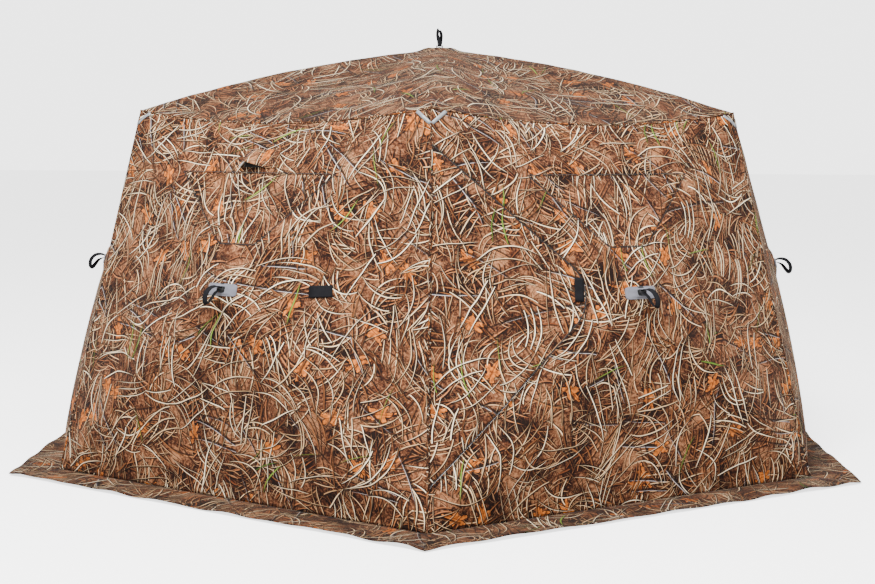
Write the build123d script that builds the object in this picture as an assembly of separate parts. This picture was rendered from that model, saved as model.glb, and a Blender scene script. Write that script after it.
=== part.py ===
"""Six-sided pop-up ground blind: a sewn shell held open by seven snap-through pole hubs.

Every wall, and the roof, is a low pyramid.  Its hub stands outside the plane of the wall,
with a bent-rod pole running from the hub to each corner, and it snaps to the mirror-image place
inside when the blind is folded.  The plan is a regular hexagon with one corner to the front.
Frame: +Z up, origin on the ground under the peak, the front corner towards -Y, millimetres.
"""
from build123d import *
import math
import os

os.makedirs("parts", exist_ok=True)

# --- Shell -------------------------------------------------------------------------------
BASE_RADIUS = 2100.0  # centre to a ground corner
EAVE_RADIUS = 1665.0  # centre to an eave corner
EAVE_HEIGHT = 1745.0  # ground to the eaves
ROOF_RISE = 355.0  # eaves to peak
HUB_UP = 930.0  # ground line to a wall hub, measured up the wall
WALL_POP = 217.0  # how far a wall hub stands out of the plane of its wall
SKIRT_REACH = 212.0  # width of the flap that lies on the ground
FABRIC = 3.0  # thickness of the quilted shell cloth
SKIRT_CLOTH = 4.0  # thickness of the hemmed ground flap
SEAM_GAP = 3.0  # bare strip left at each sewn edge, so that mitred panels never overlap
HEM_CLEAR = 2.0  # hem of a wall above the ground flap
HUB_MOUTH = 150.0  # cloth left open round a hub, measured up each panel from the hub's centre

# --- Poles and hubs ----------------------------------------------------------------------
POLE_DIAMETER = 11.0  # glass-fibre rod
POLE_CLEAR = 13.5  # cloth to pole, measured square to the wall
TIP_BACK = 60.0  # pole tip to the corner of the shell: room for the loose end to travel
TIP_CAP = 3.0  # how much wider than the pole its moulded tip is
TIP_CAP_LENGTH = 26.0
FERRULE_WALL = 2.0  # metal sleeve on the hub end of a pole
FERRULE_LENGTH = 55.0
FERRULE_BACK = 24.0  # pivot pin to the sleeve's end
TANG_THICK = 8.0  # flat end of the sleeve, in its hub slot
TANG_HEIGHT = 14.0
TANG_CLEAR = 0.3  # each side of the flat end in its slot
PIN_DIAMETER = 6.0
PIN_CLEAR = 0.1  # pin to its hole, all round
WALL_PIVOT_RADIUS = 38.0  # hub centre to a pivot pin
ROOF_PIVOT_RADIUS = 50.0
HUB_RIM = 14.0  # moulding outside the pivot pins
HUB_CORE = 14.0  # slot's closed end, inside the pivot pins
HUB_THICK = 24.0
NECK_RADIUS = 12.0
WASHER_RADIUS = 24.0
WASHER_THICK = 3.0
WASHER_PROUD = 4.0  # top of the outer washer above the cloth

# --- Pull straps -------------------------------------------------------------------------
STRAP_WIDTH = 25.0
STRAP_THICK = 2.5
STRAP_LENGTH = 112.0
STRAP_DROOP = 50.0  # degrees from straight out, on a wall
ROOF_STRAP_LEAN = 12.0  # degrees from upright, on the roof
EYE_PIN_DIAMETER = 5.0
EYE_PIN_CLEAR = 0.4
EYE_HEIGHT = 11.0  # washer to the middle of the cross pin
EYE_POST = 5.0

# --- Door, windows and vent --------------------------------------------------------------
PANEL_GAP = 12.0  # sewn edge of a hinged panel to the seam beside it
PANEL_CLEAR = 4.0  # edge of a hinged panel to the pole line, when it folds through flat
DOOR_POLE_GAP = 120.0  # zip to the pole lines above and below the door
DOOR_TIP_RADIUS = 180.0
WINDOW_DROP = 320.0  # eave to the window's head
WINDOW_SILL = 212.0  # window's foot to the hub
WINDOW_POLE_GAP = 70.0  # side of the window to the pole line
WINDOW_FOOT_RADIUS = 60.0
FLAP_GAP = 4.0  # round a closed door or window flap
FLAP_CLOTH = 2.5
SCREEN_CLOTH = 1.5
SCREEN_LAP = 15.0  # how far the window screen is sewn past the opening
STITCH_GAP = 0.4
VENT_DROP = 205.0  # eave to the vent hood's seam
VENT_WIDTH = 190.0
VENT_DEPTH = 92.0
VENT_SPREAD = 14.0  # the hood's free edge is this much wider at each end
VENT_LIFT = 20.0  # degrees that the propped hood stands off the wall
VENT_CLEAR = 1.5

SIDES = 6
STEP = 360.0 / SIDES
WALLS = ["front_right", "right", "back_right", "back_left", "left", "front_left"]
CORNERS = ["front", "front_right", "back_right", "back", "back_left", "front_left"]
DOOR_WALL = 0
WINDOW_WALLS = (0, 5)
VENT_WALL = 5

POLE_SET = FABRIC + POLE_CLEAR + POLE_DIAMETER / 2  # pole axis under the cloth
FLAT = math.cos(math.radians(STEP / 2))  # corner radius to middle of a side
LEAN_IN = (BASE_RADIUS - EAVE_RADIUS) * FLAT
WALL_SLOPE = math.hypot(EAVE_HEIGHT, LEAN_IN)  # ground line to eave, up the wall
LEAN = math.degrees(math.atan2(LEAN_IN, EAVE_HEIGHT))


def ring_point(corner, radius, height):
    """Corner number 0 faces the front, and the others follow anticlockwise from above."""
    angle = math.radians(-90 + STEP * corner)
    return Vector(radius * math.cos(angle), radius * math.sin(angle), height)


def wall_plane(wall):
    """Plane of a wall: origin on the ground line, x to the right from outside, y up, z out."""
    angle = math.radians(-90 + STEP * (wall + 0.5))
    out = Vector(math.cos(angle), math.sin(angle), 0)
    tilt = math.radians(LEAN)
    return Plane(
        origin=out * (BASE_RADIUS * FLAT),
        x_dir=Vector(-math.sin(angle), math.cos(angle), 0),
        z_dir=out * math.cos(tilt) + Vector(0, 0, math.sin(tilt)),
    )


def tipped(plane, axis, degrees):
    """The plane turned about an axis through its own origin, by the right-hand rule."""
    turn = Axis((0, 0, 0), axis)
    return Plane(
        origin=plane.origin,
        x_dir=plane.x_dir.rotate(turn, degrees),
        z_dir=plane.z_dir.rotate(turn, degrees),
    )


def roof_plane():
    """Plane of the eaves, z up."""
    return Plane(origin=(0, 0, EAVE_HEIGHT), x_dir=(1, 0, 0), z_dir=(0, 0, 1))


def wall_corners():
    """The four corners of a wall in its own plane, anticlockwise from the lower left."""
    half_base = BASE_RADIUS / 2
    half_eave = EAVE_RADIUS / 2
    return {
        "lower_left": (-half_base, 0),
        "lower_right": (half_base, 0),
        "upper_right": (half_eave, WALL_SLOPE),
        "upper_left": (-half_eave, WALL_SLOPE),
    }


def roof_corners():
    """The six eave corners in the roof's plane."""
    points = [ring_point(i, EAVE_RADIUS, 0) for i in range(SIDES)]
    return {name: (p.X, p.Y) for name, p in zip(CORNERS, points)}


class Facet:
    """One triangle of cloth: a sewn edge from start to end, and the hub as its third corner.

    In its plane, x runs along the edge, y from the edge to the hub and z out of the blind.
    """

    def __init__(self, start, end, hub):
        along = (end - start).normalized()
        out = along.cross(hub - start).normalized()
        self.plane = Plane(origin=start, x_dir=along, z_dir=out)
        self.length = (end - start).length
        apex = self.plane.to_local_coords(hub)
        self.apex_x = apex.X
        self.apex_y = apex.Y
        self.mouth = self.apex_y - HUB_MOUTH

    def sides(self, y, gap):
        """x of the two sloping sides at height y, each moved in square to itself by gap."""
        rest = self.length - self.apex_x
        near = y * self.apex_x / self.apex_y + gap * math.hypot(self.apex_x, self.apex_y) / self.apex_y
        far = self.length - y * rest / self.apex_y - gap * math.hypot(rest, self.apex_y) / self.apex_y
        return near, far

    def fold_gap(self):
        """Side gap of a hinged panel: folded flat, it reaches past the hub and nears its neighbour."""
        reach = self.apex_y - math.sqrt(self.apex_y**2 - WALL_POP**2)
        half = max(self.apex_x, self.length - self.apex_x)
        return PANEL_CLEAR + reach * half / math.hypot(half, self.apex_y) * self.mouth / self.apex_y

    def tip(self, gap):
        """Where the two sides meet when each is moved in by gap."""
        near, far = self.sides(0, gap)
        y = self.apex_y * (far - near) / self.length
        return self.sides(y, gap)[0], y

    def band(self, low, high, gap):
        """Outline of the cloth between two heights."""
        near_low, far_low = self.sides(low, gap)
        near_high, far_high = self.sides(high, gap)
        return Polygon((near_low, low), (far_low, low), (far_high, high), (near_high, high), align=None)

    def cloth(self, outline, thickness, depth=0.0):
        """Cloth of that outline, its outer face depth under the facet's own outer face."""
        return extrude(self.plane.offset(-depth) * outline, amount=-thickness)


def wall_facets(wall):
    """The four facets of a wall, named by the edge that each is sewn to."""
    plane = wall_plane(wall)
    names = ["bottom", "right", "top", "left"]
    ring = [plane.from_local_coords((x, y, 0)) for x, y in wall_corners().values()]
    hub = plane.from_local_coords((0, HUB_UP, WALL_POP))
    return {name: Facet(ring[i], ring[(i + 1) % 4], hub) for i, name in enumerate(names)}


def roof_facets():
    peak = Vector(0, 0, EAVE_HEIGHT + ROOF_RISE)
    ring = [ring_point(i, EAVE_RADIUS, EAVE_HEIGHT) for i in range(SIDES)]
    return [Facet(ring[i], ring[(i + 1) % SIDES], peak) for i in range(SIDES)]


class PopFrame:
    """A hub, its poles and its strap, on the plane of one wall or of the eaves.

    The hub's travel is twice its rise, so that the poles end in the mirror-image place.
    """

    def __init__(self, plane, centre, rise, corners, pivot_radius, strap_angle):
        self.plane = plane
        self.centre = centre
        self.rise = rise
        self.travel = 2 * rise
        self.corners = corners
        self.pivot_radius = pivot_radius
        self.strap_angle = strap_angle
        self.eye_z = rise + WASHER_PROUD + EYE_HEIGHT

    def pole_plane(self, corner):
        """At the pivot pin: x along the pole's run in the wall plane, z out of the blind."""
        dx = self.corners[corner][0] - self.centre[0]
        dy = self.corners[corner][1] - self.centre[1]
        reach = math.hypot(dx, dy)
        share = self.pivot_radius / reach
        spot = (self.centre[0] + dx * share, self.centre[1] + dy * share, self.rise - POLE_SET)
        origin = self.plane.from_local_coords(spot)
        run = self.plane.from_local_coords((dx, dy, 0)) - self.plane.from_local_coords((0, 0, 0))
        return Plane(origin=origin, x_dir=run, z_dir=self.plane.z_dir)

    def pole_run(self, corner):
        """Pivot pin to pole tip, measured in the plane of the wall."""
        dx = self.corners[corner][0] - self.centre[0]
        dy = self.corners[corner][1] - self.centre[1]
        return math.hypot(dx, dy) - self.pivot_radius - TIP_BACK

    def pole_swing(self, corner):
        """Degrees that the pole turns on its pin over the hub's whole travel."""
        return 2 * math.degrees(math.atan2(self.rise, self.pole_run(corner)))

    def pole(self, corner):
        """Rod with a sleeve and a drilled flat end at the pin, and a moulded tip."""
        base = self.pole_plane(corner)
        length = math.hypot(self.pole_run(corner), self.rise)
        lie = tipped(base, base.y_dir, self.pole_swing(corner) / 2)
        along = Plane(origin=lie.origin, x_dir=lie.y_dir, z_dir=lie.x_dir)
        rod = extrude(along.offset(FERRULE_BACK) * Circle(POLE_DIAMETER / 2), amount=length - FERRULE_BACK)
        sleeve_radius = POLE_DIAMETER / 2 + FERRULE_WALL
        rod += extrude(along.offset(FERRULE_BACK) * Circle(sleeve_radius), amount=FERRULE_LENGTH)
        cap_radius = (POLE_DIAMETER + TIP_CAP) / 2
        rod += extrude(along.offset(length - TIP_CAP_LENGTH) * Circle(cap_radius), amount=TIP_CAP_LENGTH)
        side = Plane(origin=lie.origin, x_dir=lie.x_dir, z_dir=-lie.y_dir)
        tang = Pos(FERRULE_BACK / 2 + 1, 0) * Rectangle(FERRULE_BACK + 2, TANG_HEIGHT)
        tang += Circle(TANG_HEIGHT / 2)
        tang -= Circle(PIN_DIAMETER / 2 + PIN_CLEAR)
        return rod + extrude(side * tang, amount=TANG_THICK / 2, both=True)

    def hub(self):
        """Slotted moulding with a pin across each slot, a neck, a washer and a strap eye."""
        seat = self.plane.from_local_coords((*self.centre, self.rise - POLE_SET))
        middle = Plane(origin=seat, x_dir=self.plane.x_dir, z_dir=self.plane.z_dir)
        body = extrude(middle * Circle(self.pivot_radius + HUB_RIM), amount=HUB_THICK / 2, both=True)
        slot_length = HUB_CORE + HUB_RIM + TANG_HEIGHT
        slot_width = TANG_THICK + 2 * TANG_CLEAR
        for corner in self.corners:
            here = self.pole_plane(corner)
            slot = Pos(slot_length / 2 - HUB_CORE, 0) * Rectangle(slot_length, slot_width)
            body -= extrude(here * slot, amount=HUB_THICK, both=True)
        for corner in self.corners:
            here = self.pole_plane(corner)
            across = Plane(origin=here.origin, x_dir=here.x_dir, z_dir=here.y_dir)
            body += extrude(across * Circle(PIN_DIAMETER / 2), amount=slot_width / 2 + 3, both=True)
        top = POLE_SET + WASHER_PROUD
        body += extrude(middle * Circle(NECK_RADIUS), amount=top)
        body += extrude(middle.offset(top - WASHER_THICK) * Circle(WASHER_RADIUS), amount=WASHER_THICK)
        span = STRAP_WIDTH + EYE_POST + 2
        posts = Pos(span / 2, 0) * Rectangle(EYE_POST, 2 * EYE_POST)
        posts += Pos(-span / 2, 0) * Rectangle(EYE_POST, 2 * EYE_POST)
        body += extrude(middle.offset(top - 1) * posts, amount=EYE_HEIGHT + EYE_POST)
        eye = self.plane.from_local_coords((*self.centre, self.eye_z))
        cross = Plane(origin=eye, x_dir=self.plane.y_dir, z_dir=self.plane.x_dir)
        return body + extrude(cross * Circle(EYE_PIN_DIAMETER / 2), amount=span / 2, both=True)

    def strap(self):
        """Webbing pull strap: a loop sewn round the cross pin, and a flat tail."""
        eye = self.plane.from_local_coords((*self.centre, self.eye_z))
        angle = math.radians(self.strap_angle)
        tail = self.plane.z_dir * math.cos(angle) - self.plane.y_dir * math.sin(angle)
        across = Plane(origin=eye, x_dir=tail, z_dir=self.plane.x_dir)
        bore = EYE_PIN_DIAMETER / 2 + EYE_PIN_CLEAR
        loop = Circle(bore + STRAP_THICK)
        loop += Pos(STRAP_LENGTH / 2, 0) * Rectangle(STRAP_LENGTH, STRAP_THICK)
        loop -= Circle(bore)
        return extrude(across * loop, amount=STRAP_WIDTH / 2, both=True)


def wall_frame(wall):
    return PopFrame(
        wall_plane(wall), (0, HUB_UP), WALL_POP, wall_corners(), WALL_PIVOT_RADIUS, STRAP_DROOP
    )


def roof_frame():
    return PopFrame(
        roof_plane(), (0, 0), ROOF_RISE, roof_corners(), ROOF_PIVOT_RADIUS, ROOF_STRAP_LEAN
    )


def plain_cloth(facet, edge_gap):
    """A facet with no opening."""
    return facet.cloth(facet.band(edge_gap, facet.mouth, SEAM_GAP), FABRIC)


def door_outline(facet, low, gap):
    """Triangle between the pole lines, with a rounded tip towards the hub."""
    near, far = facet.sides(low, DOOR_POLE_GAP + gap)
    outline = Polygon((near, low), (far, low), facet.tip(DOOR_POLE_GAP + gap), align=None)
    tip = outline.vertices().sort_by(Axis.Y)[-1]
    return fillet(tip, DOOR_TIP_RADIUS - gap)


def door_panel(facet):
    """Cloth above and below the door, which meets between the door's tip and the hub."""
    sheet = facet.band(PANEL_GAP, facet.mouth, facet.fold_gap()) - door_outline(facet, 0, 0)
    split = facet.tip(DOOR_POLE_GAP)[0]
    reach = facet.length
    halves = []
    for side in (-1, 1):
        centre = split + side * (reach / 2 + STITCH_GAP / 2)
        half = sheet & (Pos(centre, 0) * Rectangle(reach, 2 * reach))
        halves.append(facet.cloth(half, FABRIC))
    return halves


def window_heights(facet):
    return WINDOW_DROP, facet.apex_y - WINDOW_SILL


def window_outline(facet, gap):
    """Follows the pole lines, with rounded lower corners."""
    head, foot = window_heights(facet)
    outline = facet.band(head + gap, foot - gap, WINDOW_POLE_GAP + gap)
    lower = outline.vertices().sort_by(Axis.Y)[-2:]
    return fillet(lower, WINDOW_FOOT_RADIUS - gap)


def window_panel(facet):
    """Four strips of cloth round the window, and the mesh screen sewn behind it."""
    head, foot = window_heights(facet)
    strips = [
        facet.band(PANEL_GAP, head - STITCH_GAP, facet.fold_gap()),
        facet.band(foot + STITCH_GAP, facet.mouth, facet.fold_gap()),
    ]
    low_outer = facet.sides(head, facet.fold_gap())
    low_inner = facet.sides(head, WINDOW_POLE_GAP)
    high_outer = facet.sides(foot, facet.fold_gap())
    high_inner = facet.sides(foot, WINDOW_POLE_GAP)
    for i in (0, 1):
        strips.append(
            Polygon(
                (low_outer[i], head), (low_inner[i], head), (high_inner[i], foot), (high_outer[i], foot),
                align=None,
            )
        )
    solids = [facet.cloth(strip, FABRIC) for strip in strips]
    screen = facet.band(head - SCREEN_LAP, foot + SCREEN_LAP, WINDOW_POLE_GAP - SCREEN_LAP)
    return solids + [facet.cloth(screen, SCREEN_CLOTH, FABRIC)]


def vent_plane(facet):
    """At the hood's seam, tipped so that y runs down the propped hood."""
    seam = facet.plane.from_local_coords((facet.length / 2, VENT_DROP, VENT_CLEAR + FLAP_CLOTH))
    flat = Plane(origin=seam, x_dir=facet.plane.x_dir, z_dir=facet.plane.z_dir)
    return tipped(flat, flat.x_dir, VENT_LIFT)


def vent_hood(facet):
    """Stiffened flap over the vent, propped open at its lower edge."""
    half = VENT_WIDTH / 2
    wide = half + VENT_SPREAD
    outline = Polygon((-half, 0), (half, 0), (wide, VENT_DEPTH), (-wide, VENT_DEPTH), align=None)
    return extrude(vent_plane(facet) * outline, amount=-FLAP_CLOTH)


def ground_skirt():
    """Six flaps on the ground, mitred at the corners."""
    inner = BASE_RADIUS - 2 * SEAM_GAP
    outer = BASE_RADIUS + SKIRT_REACH / FLAT
    flaps = []
    for side in range(SIDES):
        low, high = ring_point(side, inner, 0), ring_point(side + 1, inner, 0)
        low_out, high_out = ring_point(side, outer, 0), ring_point(side + 1, outer, 0)
        trim = (high - low).normalized() * (STITCH_GAP / 2)
        outline = Polygon(
            *[(p.X, p.Y) for p in (low + trim, low_out + trim, high_out - trim, high - trim)], align=None
        )
        flaps.append(extrude(outline, amount=SKIRT_CLOTH))
    return flaps


def build():
    """Every node of the blind: its name, and one solid or a list of solids."""
    nodes = {}
    hem = SKIRT_CLOTH + HEM_CLEAR
    for wall, name in enumerate(WALLS):
        frame = wall_frame(wall)
        facets = wall_facets(wall)
        hinged = set()
        if wall == DOOR_WALL:
            hinged.add("left")
            nodes["door_panel"] = door_panel(facets["left"])
            flap = door_outline(facets["left"], PANEL_GAP, FLAP_GAP)
            nodes["door_flap"] = facets["left"].cloth(flap, FLAP_CLOTH)
        if wall in WINDOW_WALLS:
            hinged.add("top")
            nodes[name + "_window_panel"] = window_panel(facets["top"])
            flap = window_outline(facets["top"], FLAP_GAP)
            nodes[name + "_window_flap"] = facets["top"].cloth(flap, FLAP_CLOTH)
        if wall == VENT_WALL:
            nodes["vent_hood"] = vent_hood(facets["top"])
        nodes[name + "_wall"] = [
            plain_cloth(facet, hem if edge == "bottom" else SEAM_GAP)
            for edge, facet in facets.items()
            if edge not in hinged
        ]
        nodes[name + "_hub"] = frame.hub()
        nodes[name + "_pull_strap"] = frame.strap()
        for corner in frame.corners:
            nodes[name + "_pole_" + corner] = frame.pole(corner)
    roof = roof_frame()
    nodes["roof_canopy"] = [plain_cloth(facet, SEAM_GAP) for facet in roof_facets()]
    nodes["roof_hub"] = roof.hub()
    nodes["roof_pull_strap"] = roof.strap()
    for corner in roof.corners:
        nodes["roof_pole_" + corner] = roof.pole(corner)
    nodes["ground_skirt"] = ground_skirt()
    return nodes


for node, shape in build().items():
    if isinstance(shape, list):
        shape = Compound(children=[solid for part in shape for solid in part.solids()])
    export_step(shape, "parts/" + node + ".step")
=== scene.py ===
# %% [markdown]
# # A six-sided pop-up ground blind
# The blind is a sewn shell of printed cloth, held open by hubs that snap outwards. Its frame of hubs
# and rods comes from the CAD model. This lesson makes the cloth, the trims and every finish.

# %% Load the frame
import math

import bmesh
import bpy
import numpy as np
from mathutils import Matrix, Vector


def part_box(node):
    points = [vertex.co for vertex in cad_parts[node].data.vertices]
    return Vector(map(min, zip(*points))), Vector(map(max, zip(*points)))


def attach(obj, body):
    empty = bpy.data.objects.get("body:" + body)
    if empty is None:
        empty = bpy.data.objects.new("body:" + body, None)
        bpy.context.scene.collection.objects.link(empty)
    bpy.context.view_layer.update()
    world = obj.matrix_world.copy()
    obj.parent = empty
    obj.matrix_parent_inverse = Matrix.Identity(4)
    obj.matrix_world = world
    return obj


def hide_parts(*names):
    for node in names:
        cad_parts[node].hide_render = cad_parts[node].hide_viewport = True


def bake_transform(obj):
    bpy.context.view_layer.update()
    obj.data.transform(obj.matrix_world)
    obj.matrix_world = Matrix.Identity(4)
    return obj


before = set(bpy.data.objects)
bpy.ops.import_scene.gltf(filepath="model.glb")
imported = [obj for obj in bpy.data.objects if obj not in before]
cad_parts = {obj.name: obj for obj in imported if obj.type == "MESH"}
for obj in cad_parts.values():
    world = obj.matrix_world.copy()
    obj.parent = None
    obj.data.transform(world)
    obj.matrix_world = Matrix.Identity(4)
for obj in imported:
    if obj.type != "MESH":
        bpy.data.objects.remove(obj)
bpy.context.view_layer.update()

# %% [markdown]
# ## Sizes
# The cloth is cut to the same few sizes as the frame: the six-sided plan, the eaves, the peak and
# how far each hub stands out of its wall. They are written here in metres and compared with the CAD
# model straight away, because a shell that is a finger's width out would cut through its own poles.

# %% Sizes of the shell
SIDES = 6
BASE_R = 2.100  # centre to a ground corner
EAVE_R = 1.665  # centre to an eave corner
EAVE_Z = 1.745
RISE = 0.355  # eaves to peak
HUB_UP = 0.930  # ground line to a wall hub, up the wall
POP = 0.217  # wall hub out of the plane of its wall
SKIRT_REACH = 0.212
CLOTH = 0.003
HUB_HOLE = 0.016  # radius of the eyelet that a hub's neck passes through
WALLS = ["front_right", "right", "back_right", "back_left", "left", "front_left"]
DOOR_WALL, VENT_WALL = 0, 5
WINDOW_WALLS = (DOOR_WALL, VENT_WALL)

FLAT = math.cos(math.pi / SIDES)
LEAN_IN = (BASE_R - EAVE_R) * FLAT
WALL_H = math.hypot(EAVE_Z, LEAN_IN)
LEAN = math.atan2(LEAN_IN, EAVE_Z)
HUB = np.array([0.0, HUB_UP])
CORNERS = {
    "lower_left": np.array([-BASE_R / 2, 0.0]),
    "lower_right": np.array([BASE_R / 2, 0.0]),
    "upper_right": np.array([EAVE_R / 2, WALL_H]),
    "upper_left": np.array([-EAVE_R / 2, WALL_H]),
}
EDGES = {
    "bottom": ("lower_left", "lower_right"),
    "right": ("lower_right", "upper_right"),
    "top": ("upper_right", "upper_left"),
    "left": ("upper_left", "lower_left"),
}


def wall_axes(wall):
    """Origin on the ground line, then unit vectors to the right, up the wall and out of it."""
    angle = math.radians(-90 + 360 / SIDES * (wall + 0.5))
    flat_out = np.array([math.cos(angle), math.sin(angle), 0.0])
    up_z = np.array([0.0, 0.0, 1.0])
    right = np.array([-math.sin(angle), math.cos(angle), 0.0])
    out = flat_out * math.cos(LEAN) + up_z * math.sin(LEAN)
    up = up_z * math.cos(LEAN) - flat_out * math.sin(LEAN)
    return flat_out * BASE_R * FLAT, right, up, out


def on_wall(wall, x, y, z):
    """Place = origin + x right + y up + z out, for whole arrays."""
    origin, right, up, out = wall_axes(wall)
    x, y, z = np.broadcast_arrays(x, y, z)
    return origin + x[..., None] * right + y[..., None] * up + z[..., None] * out


def ring_point(corner, radius, height):
    angle = math.radians(-90 + 360 / SIDES * corner)
    return np.array([radius * math.cos(angle), radius * math.sin(angle), height])


low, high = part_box("front_right_hub")
print("hub", [round((a + b) / 2, 3) for a, b in zip(low, high)])
print("sizes say", on_wall(0, 0.0, HUB_UP, POP).round(3))

# %% [markdown]
# ## The skin of a wall
# A wall is a low pyramid: four taut triangles of cloth from its edges up to the hub. Real cloth adds
# three things to that. The eave seam has no pole, so it sags between its corners. The long lower
# poles bow, and push the cloth out along them. And cloth pulled to a corner creases towards it.
# All of it is one height over the plane of the wall, so every patch, zip and tab can lie on it.

# %% Height of the cloth over a wall
EAVE_SAG = 0.066  # middle of an eave seam below its corners
SAG_FADE = 0.34  # share of the way to the hub at which the sag has gone
POLE_BOW = 0.030  # how far a lower pole pushes the cloth out
BOW_WIDTH = 0.30
EASE = 0.14  # distance from a seam over which bows and ripples set in
CREASE_DEPTH = 0.0016
RIPPLE_DEPTH, RIPPLE_LENGTH = 0.0024, 0.55
RING_LIFT, RING_R, RING_WIDTH = 0.0135, 0.062, 0.036  # room for the hub's moulding
HEM_DEPTH, HEM_LENGTH, HEM_FADE = 0.007, 0.20, 0.09
FOOT_Z = 0.002  # lowest point of the cloth, up the wall


def waves(x, y, seed, size, count=7):
    """Sum of sine waves in random directions, of wavelength near size, scaled to about -1 to 1."""
    rng = np.random.default_rng(seed)
    turn, phase = rng.uniform(0, 2 * np.pi, (2, count))
    length = size * rng.uniform(0.7, 1.5, count)
    x, y = np.asarray(x)[..., None], np.asarray(y)[..., None]
    return np.sin(2 * np.pi * (x * np.cos(turn) + y * np.sin(turn)) / length + phase).sum(-1) / count * 1.6


def smooth(value):
    """Smoothstep of the value clipped to 0..1."""
    value = np.clip(value, 0, 1)
    return value * value * (3 - 2 * value)


def edge_distance(x, y, edge):
    """Distance of points from one edge of the wall, inwards."""
    start, end = (CORNERS[c] for c in EDGES[edge])
    along = (end - start) / np.linalg.norm(end - start)
    return (y - start[1]) * along[0] - (x - start[0]) * along[1]


def hub_share(x, y):
    """0 on the wall's edges and 1 at the hub: the least of the four distances, each over the hub's."""
    shares = [edge_distance(x, y, edge) / edge_distance(*HUB, edge) for edge in EDGES]
    return np.clip(np.minimum.reduce(shares), 0, 1)


def creases(x, y, seed):
    """Fine pulls that fan out from the four corners and the hub and die away within half a metre."""
    total = np.zeros(np.broadcast(x, y).shape)
    for number, spot in enumerate([*CORNERS.values(), HUB]):
        dx, dy = x - spot[0], y - spot[1]
        reach = np.hypot(dx, dy)
        swing = np.arctan2(dy, dx) * 13 + 2.2 * waves(x, y, seed + number, 0.5, 3)
        total += np.sin(swing) * np.exp(-reach / 0.28) * smooth(reach / 0.16)
    return total


def wall_skin(x, y, wall):
    """Place of cloth at (x, y): pyramid height, plus bow along the lower poles, plus creases, ripples
    and a raised ring at the hub; near the eave it slides down with the sagging seam. Returns the
    points and the share that follows the hub."""
    share = hub_share(x, y)
    nearest = np.minimum.reduce([edge_distance(x, y, edge) for edge in EDGES])
    inner = smooth(nearest / EASE)
    height = POP * share
    for corner in ("lower_left", "lower_right"):
        run = HUB - CORNERS[corner]
        length = np.linalg.norm(run)
        dx, dy = x - CORNERS[corner][0], y - CORNERS[corner][1]
        along = np.clip((dx * run[0] + dy * run[1]) / length**2, 0, 1)
        across = (dx * run[1] - dy * run[0]) / length
        height = height + POLE_BOW * 4 * along * (1 - along) * np.exp(-((across / BOW_WIDTH) ** 2)) * inner
    ripples = RIPPLE_DEPTH * waves(x, y, 90 + wall, RIPPLE_LENGTH)
    height = height + inner * (CREASE_DEPTH * creases(x, y, 40 + 7 * wall) + ripples)
    from_hub = np.hypot(x - HUB[0], y - HUB[1])
    height = height + RING_LIFT * np.exp(-(((from_hub - RING_R) / RING_WIDTH) ** 2))
    hem = np.exp(-y / HEM_FADE) * smooth(nearest / 0.02) * smooth((BASE_R / 2 - np.abs(x)) / 0.2)
    height = height + hem * HEM_DEPTH * waves(x, 0.6 * y, 20 + wall, HEM_LENGTH)
    to_eave = edge_distance(x, y, "top") / edge_distance(*HUB, "top")
    middle = np.clip(1 - (2 * x / EAVE_R) ** 2, 0, 1)
    sag = EAVE_SAG * middle * np.clip(1 - to_eave / SAG_FADE, 0, 1) ** 2
    return on_wall(wall, x, np.maximum(y - sag, FOOT_Z), height), share


print("wall", BASE_R, "m wide at the ground,", EAVE_R, "m at the eave,", round(WALL_H, 2), "m up the slope")

# %% [markdown]
# ## Turning grids into cloth
# Each piece is a few grids of points. They are joined into one mesh and welded where they meet, and
# they carry two things with them: a map in metres, so that the print runs at true size over every
# seam, and the share of the hub's travel stored with each point.

# %% Mesh helpers
def grid_faces(rows, columns, start):
    """Quads of a grid whose points are numbered row by row, from start."""
    first = (np.arange(rows - 1)[:, None] * columns + np.arange(columns - 1)[None, :]).ravel() + start
    return np.stack([first, first + columns, first + columns + 1, first + 1], axis=1)


def mesh_piece(name, grids, out, maps=None, shares=None):
    """One object from grids of points (rows, columns, 3); faces are turned towards the vector out,
    or left as they are when out is None."""
    points, faces, start = [], [], 0
    for grid in grids:
        rows, columns = grid.shape[:2]
        faces.append(grid_faces(rows, columns, start))
        points.append(grid.reshape(-1, 3))
        start += rows * columns
    points, faces = np.concatenate(points), np.concatenate(faces)
    mesh = bpy.data.meshes.new(name)
    mesh.from_pydata(points.tolist(), [], faces.tolist())
    corner = np.empty(len(mesh.loops), int)
    mesh.loops.foreach_get("vertex_index", corner)
    if maps is not None:
        flat = np.concatenate([m.reshape(-1, 2) for m in maps])
        mesh.uv_layers.new(name="print").data.foreach_set("uv", flat[corner].ravel())
    if shares is not None:
        flat = np.concatenate([np.broadcast_to(s, g.shape[:2]).ravel() for s, g in zip(shares, grids)])
        mesh.attributes.new("share", "FLOAT", "POINT").data.foreach_set("value", flat.astype(np.float32))
    weld = bmesh.new()
    weld.from_mesh(mesh)
    bmesh.ops.remove_doubles(weld, verts=weld.verts, dist=1e-4)
    bmesh.ops.dissolve_degenerate(weld, edges=weld.edges, dist=1e-5)
    weld.to_mesh(mesh)
    weld.free()
    if out is not None:
        normals = np.empty(len(mesh.polygons) * 3)
        areas = np.empty(len(mesh.polygons))
        mesh.polygons.foreach_get("normal", normals)
        mesh.polygons.foreach_get("area", areas)
        if (normals.reshape(-1, 3) @ np.asarray(out, float) * areas).sum() < 0:
            mesh.flip_normals()
    mesh.polygons.foreach_set("use_smooth", np.ones(len(mesh.polygons), bool))
    piece = bpy.data.objects.new(name, mesh)
    bpy.context.collection.objects.link(piece)
    return piece


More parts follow.
